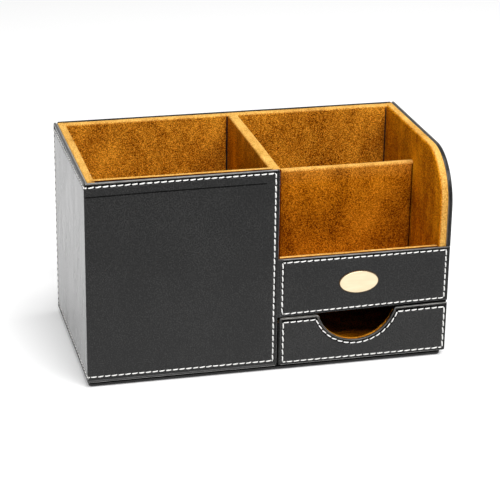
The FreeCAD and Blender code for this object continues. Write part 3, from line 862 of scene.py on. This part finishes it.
wrap_length = depth + front_edge - left_face
bend_near = depth + np.array([-4, -2.5, -1.6, -1.2, -0.9, -0.6, -0.3, 0.0, 0.3, 0.6, 0.9, 1.2, 1.6, 2.5, 4])
wrap_across = np.unique(np.concatenate([np.linspace(6, depth - 6, 12), bend_near,
                                        np.linspace(depth + 6, wrap_length - 6, 12)])) / wrap_length
joint_near = np.array([low_bottom - 2, low_bottom - 0.4, low_bottom + 0.4, low_bottom + 2, 58.0,
                       low_top - 2.4, low_top - 1.2, low_top - 0.5, low_top + 0.3, low_top + 1.5])
wrap_up = np.unique(np.concatenate([np.linspace(8, 132, 9), joint_near]))
wrap_up = (wrap_up - panel_bottom) / (panel_top - panel_bottom)
wrap_corners = four_corners((0.0, panel_bottom), (wrap_length, panel_top))
wrap_rows = [3.9, 2.7, 2.3, 2.7]       # sewn rows from the bottom, right, top and back edge
TOP_EDGE = [0, 0, 1, 0]                # of a panel's four sides, as by_side takes them
BOTTOM_EDGE = [1, 0, 0, 0]
wrap_samples = [wrap_across, wrap_up, 1 - wrap_across[::-1], 1 - wrap_up[::-1]]
wrap_ring = sewn_ring(wrap_corners, [1.0, 1.0, 1.7, 1.0], wrap_rows, wrap_samples)
first_ring = wrap_ring(0.0)
on_right = first_ring[:, 0] > wrap_length - 1e-3
joined = (on_right * np.clip((first_ring[:, 1] - low_bottom - 0.2) / 0.8, 0, 1)
          * np.clip((low_top - 0.6 - first_ring[:, 1]) / 0.8, 0, 1))
wrap_counts = [len(wrap_across), len(wrap_up)] * 2
front_top = by_side(TOP_EDGE, wrap_counts) * np.clip((first_ring[:, 0] - depth) / 0.6, 0.0, 1.0)
rings, placed = panel_skin(wrap_ring, wrap_place, EDGE + CREASE, joined, front_top)
wrap_points, count, n_across, n_up = np.concatenate(placed), len(first_ring), len(wrap_across), len(wrap_up)
wrap_faces = quads(len(rings), count, close_columns=True)
arc = 6                                # points in each corner of the outline
right_start = arc + n_across
top_start = right_start + arc + n_up + arc - 1
left_start = top_start + n_across + 1
for first in (0, count * (len(rings) - 1)):
    # The sheet's inner and outer faces, in upright bands that follow it round the corner.
    low_row = list(range(first + arc - 1, first + right_start + 1))
    high_row = list(range(first + top_start, first + left_start + 1))[::-1]
    wrap_faces += [[low_row[k], low_row[k + 1], high_row[k + 1], high_row[k]] for k in range(1, n_across)]
    wrap_faces.append([low_row[-2]] + list(range(low_row[-1], high_row[-1] + 1)) + [high_row[-2]])
    wrap_faces.append([high_row[1]] + list(range(first + left_start, first + count))
                      + list(range(first, first + arc)) + [low_row[1]])

low_length = right_face - left_face
low_start = front_edge - left_face
low_samples = [between(24), between(8)] * 2
low_ring = sewn_ring(four_corners((low_start, low_bottom), (low_length, low_top)), [0.0, 0.35, 0.9, 0.0],
                     [2.0, 2.7, 2.2, 3.0], low_samples)
at_joint = (low_ring(0.0)[:, 0] < low_start + 1e-3) * 1.0
low_front_top = by_side(TOP_EDGE, [len(shares) for shares in low_samples])
low_points, low_faces = stepped(*panel_skin(low_ring, front_place, EDGE, at_joint, low_front_top))
front_skin = (np.concatenate([wrap_points, low_points]),
              wrap_faces + [[k + len(wrap_points) for k in face] for face in low_faces])
# The front's dye is paled towards the table: painted reflection of the table.
put("front_leather_wrap", front_skin, leather("front_leather_finish", 0.08, 0.235, 0.0115), "case",
    "front_leather")
# Pale strips over the rolls are painted highlight; near-black strips in the furrows and tucks are painted
# shade.
edge_strips("front_edge", wrap_ring, wrap_place, front_top)
# A near-black strip in the crease: painted shade.
strip("front_crease_line", wrap_ring, wrap_place, CREASE_LINE, front_top, furrow_shade_finish)
edge_strips("low_front_edge", low_ring, front_place, low_front_top)

# ---------------- gap shade, foot edge and base groove
# Black felt behind the low front's lower edge meets the drawer's top: painted shade in
# the gap between them. A pale strip on the front's lower edge is a painted highlight,
# and a near-black strip on the shoulder of the base plate is painted shade in the groove.
# A near-black felt strip in the gap above the drawer: painted shade.
buffer_ring = sheet_ring((7.0, low_bottom - 0.75), (right_face - 0.5, low_bottom + 0.6), 0.3, 29, 2)
buffer_profile = [(0.3, 1.1), (0.0, 1.25), (0.0, 1.75), (0.3, 1.9)]   # depths behind the leather's face
buffer_skin = stepped(*ringed(buffer_ring, lambda a, b, h: spots(a, front_face + h, b), buffer_profile))
put("drawer_gap_shade_felt", buffer_skin, fuzzy("gap_shade_felt", (0.0012,) * 3, (0.0004,) * 3, 900.0, 0.0),
    "case", "front_leather")
# Pale grey on the lower edge's crest: painted highlight.
foot_highlight_finish = edge_strip_tone("foot_painted_highlight", (0.14, 0.138, 0.132), (0.30, 0.29, 0.275), 0.30, 0.9)
front_foot = by_side(BOTTOM_EDGE, wrap_counts) * (first_ring[:, 0] > depth + 0.6)
strip("front_foot_crest", wrap_ring, wrap_place, CREST, front_foot, foot_highlight_finish)
# A near-black strip on the base plate's shoulder: painted shade in the groove.
shoulder = rounded(0.0, base_high[2], turned_edge, -turned_edge, start=0.20, end=1.5)
groove = [(s - 0.03, z + 0.02) for s, z in shoulder] + [(s + 0.03, z - 0.03) for s, z in shoulder[::-1]]
put("base_groove_shade", looped(*ringed(base_ring, spots, groove)), furrow_shade_finish, "case",
    "base_leather", 60.0)

# ---------------- back leather
# A separate panel closes the back between the two sides: leather turned over a card,
# sewn down all round and glued to the back board.
back_low, back_high = corners_of("back_leather")


def back_place(a, b, h):
    """Flat on the back: a runs from left to right, h stands out."""
    return spots(a, back_face + h, b)


back_samples = [between(40), between(24)] * 2
back_ring = sewn_ring(four_corners((back_low[0], panel_bottom), (back_high[0], panel_top)), [1.0] * 4,
                      wrap_rows, back_samples)
back_top = by_side(TOP_EDGE, [len(shares) for shares in back_samples])
put("back_leather_panel", stepped(*panel_skin(back_ring, back_place, EDGE, 0.0, back_top)),
    leather("back_leather_finish", 0.04), "case", "back_leather")

# ---------------- right leather
# The right side has its own stitched panel with a round front corner. Its front edge
# steps back behind the low front and behind the overlapping end of the drawer's front.
board_out = corners_of("right_board")[0][1]
overlap_back = corners_of("drawer_front_board")[1][1] + 0.3


def right_place(a, b, h):
    """Flat on the right side: a runs from front to back, h stands out."""
    return spots(right_face + h, a, b)


right_corners = [(overlap_back, panel_bottom), (back_face, panel_bottom), (back_face, panel_top),
                 (front_face, panel_top), (front_face, low_top), (board_out, low_top),
                 (board_out, low_bottom), (overlap_back, low_bottom)]
right_rows = [3.9, 2.7, 2.3, 2.3, 2.3, 2.3, 2.3, 2.3]
right_samples = [between(24), between(24), between(20), between(5), [0.5], between(8), [0.5], between(7)]
right_ring = sewn_ring(right_corners, [1.0, 1.0, 1.0, 34.5, 0.4, 0.0, 0.0, 0.0], right_rows, right_samples,
                       24)
right_top = by_side([0, 0, 1, 1, 0, 0, 0, 0], [len(shares) for shares in right_samples], 24)
put("right_leather_panel", stepped(*panel_skin(right_ring, right_place, EDGE, 0.0, right_top)),
    leather("right_leather_finish", 0.04), "case", "right_leather")

# ---------------- thread
# White waxed thread, sewn in a running lock stitch: each stitch lies in the furrow,
# rises a little in the middle, leans to one side and dives into its needle holes.
thread_finish, tree, shader = new_finish("white_thread", (0.90, 0.885, 0.86), 0.5, Sheen_Weight=0.3,
                                         Sheen_Roughness=0.4)
fibre = add(tree, "TexWave", {"Vector": add(tree, "UVMap", uv_map="UVMap").outputs[0], "Scale": 1.0,
                              "Distortion": 0.6}, bands_direction="DIAGONAL").outputs["Fac"]
coat(tree, shader, ramp(tree, fibre, [(0.0, (0.78, 0.765, 0.73)), (0.6, (0.93, 0.92, 0.90))]))
raise_by(tree, shader, (fibre, 0.5, 0.0001))


def gaps_between(start, end, first, pitch):
    """Where a straight row is pierced: a hole at first and one every pitch, to the end. Returns each stitch's
    ends."""
    length = math.dist(start, end)
    holes = np.arange(first, length - 0.4, pitch)
    marks = np.concatenate([[0.0], holes, [length]])
    way = (np.array(end) - np.array(start)) / length
    return np.array(start) + marks[:-1, None] * way, np.array(start) + marks[1:, None] * way


def on_path(path, pitch):
    """The same along a curved row given by its points: the holes stand a whole number of pitches apart."""
    path = np.asarray(path, float)
    run = np.concatenate([[0.0], np.cumsum(np.linalg.norm(np.diff(path, axis=0), axis=1))])
    number = max(1, round(run[-1] / pitch))
    marks = np.linspace(0, run[-1], number + 1)
    ends = np.stack([np.interp(marks, run, path[:, k]) for k in (0, 1)], 1)
    return ends[:-1], ends[1:]


def thread_row(name, node, rows, place, seed, lean=0.08, stand=0.12, body="case"):
    """Stitches as tubes: along each the centre follows a flat arch, its ends 0.5 mm down in the furrow, and
    the oval section narrows to the ends. lean turns each stitch a little across its row."""
    draw = np.random.default_rng(seed)
    width, thick = 0.90, 0.30
    hole, least = 0.26, 0.35              # half a needle hole, and the least half stitch
    short = 2.0                           # a shorter stitch keeps to its row
    starts, ends = (np.concatenate([row[k] for row in rows]) for k in (0, 1))
    step = ends - starts
    length = np.linalg.norm(step, axis=1)
    way = step / length[:, None]
    middle = (starts + ends) / 2
    turn = np.where(length < short, 0.0, lean + draw.normal(0, 0.035, len(length)))
    way = np.stack([way[:, 0] * np.cos(turn) - way[:, 1] * np.sin(turn),
                    way[:, 0] * np.sin(turn) + way[:, 1] * np.cos(turn)], 1)
    across_way = np.stack([-way[:, 1], way[:, 0]], 1)
    half = np.maximum(length / 2 - hole, least)
    share = np.array([-1.0, -0.93, -0.78, -0.45, 0.0, 0.45, 0.78, 0.93, 1.0])
    around = np.linspace(0, 2 * math.pi, 9)[:-1]
    slim = np.sqrt(np.maximum(1 - np.abs(share) ** 5, 0.06))
    arch = stand - thick - 0.62 * np.abs(share) ** 4
    fat = (width / 2) * (1 + draw.normal(0, 0.05, len(length)))
    l = half[:, None, None] * share[None, :, None]
    w = fat[:, None, None] * slim[None, :, None] * np.cos(around)
    h = arch[None, :, None] + thick * slim[None, :, None] * np.sin(around)
    h = h + draw.normal(0, 0.02, len(length))[:, None, None]
    a, b = (middle[:, k, None, None] + l * way[:, k, None, None] + w * across_way[:, k, None, None]
            for k in (0, 1))
    points = place(a.ravel(), b.ravel(), h.ravel())
    per = len(share) * len(around)
    offsets = np.arange(len(length))[:, None] * per
    tube = np.array(quads(len(share), len(around), close_columns=True))
    tubes = (tube + offsets[:, :, None]).reshape(-1, 4)
    first_cap = np.arange(len(around))[::-1] + offsets
    last_cap = per - len(around) + np.arange(len(around)) + offsets
    piece = put(name, (points, tubes.tolist() + first_cap.tolist() + last_cap.tolist()), thread_finish, body,
                node, merged=False)
    laid = np.stack(np.broadcast_arrays(l / 1.1, around / (2 * math.pi) * 2.0), -1).reshape(-1, 2)
    corners = np.zeros(len(piece.data.loops), int)
    piece.data.loops.foreach_get("vertex_index", corners)
    piece.data.uv_layers.new(name="UVMap").data.foreach_set("uv", laid[corners].ravel())


top_row_z, bottom_row_z = panel_top - 2.2, panel_bottom + 3.9
column_u, back_u = wrap_length - 2.7, 2.7
front_rows = [gaps_between((depth, top_row_z), (column_u, top_row_z), 2.2, 4.554),
              gaps_between((column_u, top_row_z), (column_u, bottom_row_z), 3.5, 4.48),
              gaps_between((depth, bottom_row_z), (column_u, bottom_row_z), 2.0, 4.41)]
thread_row("front_stitches", "front_thread", front_rows, wrap_place, 11)
left_rows = [gaps_between((depth, top_row_z), (back_u, top_row_z), 2.3, 4.5),
             gaps_between((depth, bottom_row_z), (back_u, bottom_row_z), 2.4, 4.5),
             gaps_between((back_u, top_row_z), (back_u, bottom_row_z), 4.4, 4.5)]
thread_row("left_stitches", "front_thread", left_rows, wrap_place, 16, stand=0.30)

low_left, low_right = front_edge - left_face + 3.0, low_length - 2.7
low_row_top, low_row_bottom = low_top - 2.2, low_bottom + 2.0
low_stitches = [gaps_between((low_left, low_row_top), (low_right, low_row_top), 3.0 - 0.7, 4.47),
                gaps_between((low_left, low_row_bottom), (low_right, low_row_bottom), 1.9 - 0.7, 4.36),
                gaps_between((low_left, low_row_top), (low_left, low_row_bottom), 4.3, 4.33),
                gaps_between((low_right, low_row_top), (low_right, low_row_bottom), 4.3, 4.3)]
thread_row("low_front_stitches", "fascia_thread", low_stitches, front_place, 12)

back_row = np.array(four_corners((back_low[0] + 2.7, bottom_row_z), (back_high[0] - 2.7, top_row_z)))
back_stitches = [on_path([back_row[k], back_row[(k + 1) % 4]], 4.5) for k in range(4)]
thread_row("back_stitches", "back_thread", back_stitches, back_place, 13, -0.12)

right_row = right_ring(SEAM)
right_row = np.concatenate([right_row, right_row[:1]])
moving = np.linalg.norm(np.diff(right_row, axis=0), axis=1) > 1e-6
kept = right_row[np.concatenate([[True], moving])]
heading = np.diff(kept, axis=0)
heading /= np.linalg.norm(heading, axis=1)[:, None]
sharp = np.where((heading[1:] * heading[:-1]).sum(1) < 0.8)[0] + 1
marks = [0, *sharp.tolist(), len(kept) - 1]
right_stitches = [on_path(kept[marks[k]:marks[k + 1] + 1], 4.5) for k in range(len(marks) - 1)]
thread_row("right_stitches", "right_thread", right_stitches, right_place, 14)

# ---------------- badge
# A small oval plate of pale gilt brass pinned to the low front, its face slightly
# domed inside a raised lip that age has left dark. Nothing is written on it.
badge_low, badge_high = corners_of("badge")
badge_middle = (badge_low + badge_high) / 2
half_wide, half_tall = (badge_high[0] - badge_low[0]) / 2, (badge_high[2] - badge_low[2]) / 2
badge_finish = clouded("gilt_brass", (0.72, 0.60, 0.40), (0.80, 0.68, 0.47), 0.32,
                       (600.0, 3.0, (0.15, 1.0, 1.0)), (0.08, 0.00005), flat=(0.76, 0.645, 0.44),
                       Metallic=1.0)
aged_finish = clouded("aged_brass", (0.05, 0.025, 0.008), (0.20, 0.11, 0.04), 0.45, (400.0, 3.0),
                      (0.2, 0.00005), (0.35, 0.65), (0.30, 0.17, 0.06), Metallic=0.7)
sweep = np.linspace(0, 2 * math.pi, 73)[:-1]


def badge_ring(inset):
    """The plate's oval, moved inwards."""
    return np.column_stack([(half_wide - inset) * np.cos(sweep), (half_tall - inset) * np.sin(sweep)])


def badge_place(a, b, h):
    """Flat on the low front, about the badge's middle."""
    return spots(badge_middle[0] + a, front_face - h, badge_middle[2] + b)


plate = [(1.4, 0.0), (0.40, 0.0), (0.40, 0.60), (0.50, 0.76), (0.70, 0.80), (2.0, 0.86), (3.2, 0.91),
         (4.8, 0.96), (6.4, 0.99), (7.9, 1.0)]
lip = [(0.40, 0.0), (0.0, 0.0), (0.0, 0.40), (0.06, 0.56), (0.18, 0.64), (0.30, 0.62), (0.40, 0.52)]
put("badge_plate", stepped(*ringed(badge_ring, badge_place, plate)), badge_finish, "case", "badge",
    50.0)
put("badge_lip", looped(*ringed(badge_ring, badge_place, lip)), aged_finish, "case", "badge", 50.0)

# ---------------- drawer box
# A shallow tray of boards in black paper, lined with the same suede, which turns
# over the tops of its sides and back. It rides on the base between the case's walls.
lining_low, lining_high = corners_of("drawer_left_lining")
box_section = rim_section(lining_high[0] - lining_low[0], lining_low[2], lining_high[2], 1.0, 0.4)
box_span = (lining_low[1], lining_high[1])
back_lining_low, back_lining_high = corners_of("drawer_back_lining")
for name, node, span, place, seed in (
        ("drawer_left_suede", "drawer_left_lining", box_span, on_line_y(lining_low[0]), 7),
        ("drawer_right_suede", "drawer_right_lining", box_span,
         on_line_y(corners_of("drawer_right_lining")[1][0], -1), 8),
        ("drawer_back_suede", "drawer_back_lining", (back_lining_low[0] - 1.2, back_lining_high[0] + 1.2),
         on_line_x(back_lining_high[1], -1), 9)):
    lined_wall(name, node, box_section, span, place, seed, body="drawer")
# The drawer's floor takes the divider's darker suede: painted shade inside the drawer.
soft_slab("drawer_floor_suede", "drawer_floor_lining", 4, shaded_divider_finish, "drawer")

# ---------------- drawer front
# A board and a card with a round finger notch, under a stitched leather panel. The
# notch's edge inside the leather is bound in suede, which also lines the back.
face_low, face_high = corners_of("drawer_front_leather")
NOTCH = 26.7          # radius of the finger notch
NOTCH_EASE = 2.0      # radius of the small corners beside it
NOTCH_DEEP = 20.2
NOTCH_ROW = 2.4       # the sewn row's distance from it
notch_shift = 0.9     # it stands a little left of the middle of the drawer's bay
notch_middle = (corners_of("divider_board")[1][0] + corners_of("right_board")[0][0]) / 2 - notch_shift
notch_height = face_high[2] - NOTCH_DEEP + NOTCH
face_rows = [2.0, 2.0, 3.0, 2.6]


def notch_path(inset, top, radius, ease, steps=40):
    """The notched top edge from right to left, moved inwards: flat, round a small corner of radius ease, down
    and up the notch's arc of the given radius plus the inset, round the other corner, and flat again. Once
    the inset has used a corner up, the arc simply meets the flat."""
    rest = max(ease - inset, 0.0)
    line = top - inset - rest
    spanned = radius + inset + rest
    half = math.sqrt(spanned ** 2 - (line - notch_height) ** 2)
    reach_angle = math.atan2(half, notch_height - line)
    small = np.linspace(0.0, math.pi - reach_angle, 7)[:, None]
    right_ease = np.column_stack([half - rest * np.sin(small), line + rest * np.cos(small)])
    sweep_to = np.linspace(reach_angle, -reach_angle, steps)[1:-1, None]
    arc = np.column_stack([(radius + inset) * np.sin(sweep_to),
                           notch_height - (radius + inset) * np.cos(sweep_to)])
    left_ease = right_ease[::-1] * [-1, 1]
    return np.concatenate([right_ease, arc, left_ease]) + [notch_middle, 0.0]


def with_flats(path, start_x, end_x):
    """Three points on the flat before the path and three after it."""
    return np.concatenate([np.column_stack([between(4, start_x, path[0, 0]), np.full(3, path[0, 1])]), path,
                           np.column_stack([between(4, path[-1, 0], end_x), np.full(3, path[-1, 1])])])


def lowered_notch(inset, drop, fade=6.0):
    """The notch at an inset, its flats lower by drop, which goes out down the arc."""
    path = notch_path(inset, face_high[2], NOTCH, NOTCH_EASE)
    path[:, 1] -= drop * np.clip((path[:, 1] - (face_high[2] - inset - fade)) / fade, 0, 1)
    return path


def face_ring(inset):
    """The drawer front's outline. Near the notch the sewn furrow keeps its own distance from the arc, and the
    straight rows lie lower."""
    notch_inset = drawn(inset, NOTCH_ROW)

    def top_edge(s):
        return with_flats(lowered_notch(notch_inset, s - notch_inset), face_high[0] - max(1.2, s),
                          face_low[0] + max(1.2, s))

    return outline(four_corners(face_low[[0, 2]], face_high[[0, 2]]), [1.2, 1.0, 0.35, 0.7],
                   [drawn(inset, row) for row in face_rows], [between(24), between(6), top_edge, between(6)])


def face_place(a, b, h):
    """On the drawer's front: a is the distance to the right of the middle, h stands out."""
    return on_front(a, b, h, 0.0146, 93.2, (b - face_low[2]) / (face_high[2] - face_low[2]))


bottom_count, side_count = len(between(24)), len(between(6))
top_count = len(face_ring(0.0)) - 4 * arc - bottom_count - 2 * side_count
face_counts = [bottom_count, side_count, top_count, side_count]
face_top = by_side(TOP_EDGE, face_counts)
put("drawer_front_panel", stepped(*panel_skin(face_ring, face_place, EDGE, 0.0, face_top)),
    leather("drawer_leather_finish", 0.04, 0.35), "drawer", "drawer_front_leather")
bound_reach = corners_of("drawer_front_board")[0][1] - front_face + 1.75
# Along the drawer's top edge a pale strip is a painted highlight, dimmed down in the notch, and the furrow
# and tuck strips are painted shade.
edge_strips("drawer_edge", face_ring, face_place, face_top,
            edge_strip_tone("drawer_crest_painted_highlight", (0.13, 0.128, 0.122), (0.29, 0.28, 0.265), 0.30, 0.9,
                         (face_high[2] - 1.2) * MM),
            [(0.42, 0.04 - bound_reach), (0.42, -1.58), (0.56, -1.62), (0.56, -bound_reach)],
            body="drawer", node="drawer_front_leather")
# A pale strip on the drawer's lower edge: painted highlight.
strip("drawer_foot_crest", face_ring, face_place, CREST, by_side(BOTTOM_EDGE, face_counts), foot_highlight_finish,
      "drawer", "drawer_front_leather")

row_left, row_right = face_low[0] + 2.6, face_high[0] - 2.0
row_top, row_bottom = face_high[2] - 3.0, face_low[2] + 2.0
notch_row = lowered_notch(NOTCH_ROW, 0.6)[::-1]
face_stitches = [on_path([(row_left, row_top), notch_row[0]], 4.8), on_path(notch_row, 4.5),
                 on_path([notch_row[-1], (row_right, row_top)], 4.8),
                 gaps_between((row_left, row_bottom), (row_right, row_bottom), 3.2 - 0.7, 4.75),
                 on_path([(row_left, row_top), (row_left, row_bottom)], 4.9),
                 on_path([(row_right, row_top), (row_right, row_bottom)], 4.9)]
thread_row("drawer_front_stitches", "drawer_thread", face_stitches, face_place, 15, body="drawer")

bound_low, bound_high = corners_of("drawer_front_lining")
sheet_low, sheet_high = corners_of("drawer_floor_lining")
board_front, board_back = (corner_of[1] for corner_of in corners_of("drawer_front_board"))
bound_corners = four_corners((sheet_low[0], bound_low[2]), (sheet_high[0], bound_high[2]))
bound_radius = NOTCH + 0.5


def bound_ring(inset):
    """The suede behind the drawer front: only the notch's edge moves inwards."""
    def top_edge(s):
        return with_flats(notch_path(inset, bound_high[2] + inset, bound_radius, 0.0), sheet_high[0],
                          sheet_low[0])
    return outline(bound_corners, [0] * 4, [0] * 4, [between(8), [0.5], top_edge, [0.5]])


probe = bound_ring(0.0)
on_notch = np.abs(np.hypot(probe[:, 0] - notch_middle, probe[:, 1] - notch_height) - bound_radius) < 1e-3
sheet_depth = board_back - board_front + SHEET


def bound_place(a, b, h):
    """Upright behind the drawer front: h is the depth. Off the notch the sheet only covers the board's
    back."""
    return spots(a, board_front + np.where(on_notch, h, np.maximum(h, sheet_depth - SHEET)), b)


bound_profile = [(2.5, sheet_depth - SHEET), (SHEET, sheet_depth - SHEET), (SHEET, 0.0), (0.3, 0.0),
                 (0.08, 0.1), (0.0, 0.35), (0.0, 2.0), (0.0, sheet_depth - 0.8), (0.1, sheet_depth - 0.4),
                 (0.35, sheet_depth - 0.12), (0.8, sheet_depth), (2.5, sheet_depth)]
bound = put("drawer_front_suede", stepped(*ringed(bound_ring, bound_place, bound_profile)), suede_finish,
            "drawer", "drawer_front_lining", 60.0)
mark(bound, "rubbed_and_sheen", lambda x, y, z: 0.0 * z)
